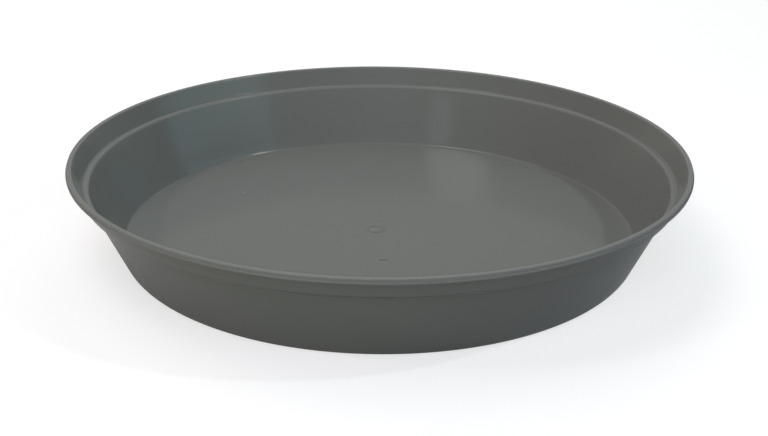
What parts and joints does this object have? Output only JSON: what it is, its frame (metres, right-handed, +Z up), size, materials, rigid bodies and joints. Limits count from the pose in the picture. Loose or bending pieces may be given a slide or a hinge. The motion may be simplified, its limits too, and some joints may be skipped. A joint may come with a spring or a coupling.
{
  "type": "plant saucer",
  "caption": "Round moulded plastic saucer that stands under a plant pot and catches water, with a leaning wall, a stepped band and a turned-out lip.",
  "frame": {"origin": "centre of the foot ring, on the ground that the saucer stands on", "axes": "+Z up along the saucer's axis; the saucer is round, and its gate mark and two small ejector marks lie towards -Y"},
  "size_m": [0.34, 0.34, 0.0522],
  "materials": {
    "polypropylene": "moulded mid-grey polypropylene, semi-matt, with a soft sheen"
  },
  "bodies": {
    "root": {"saucer": "polypropylene"}
  },
  "joints": []
}
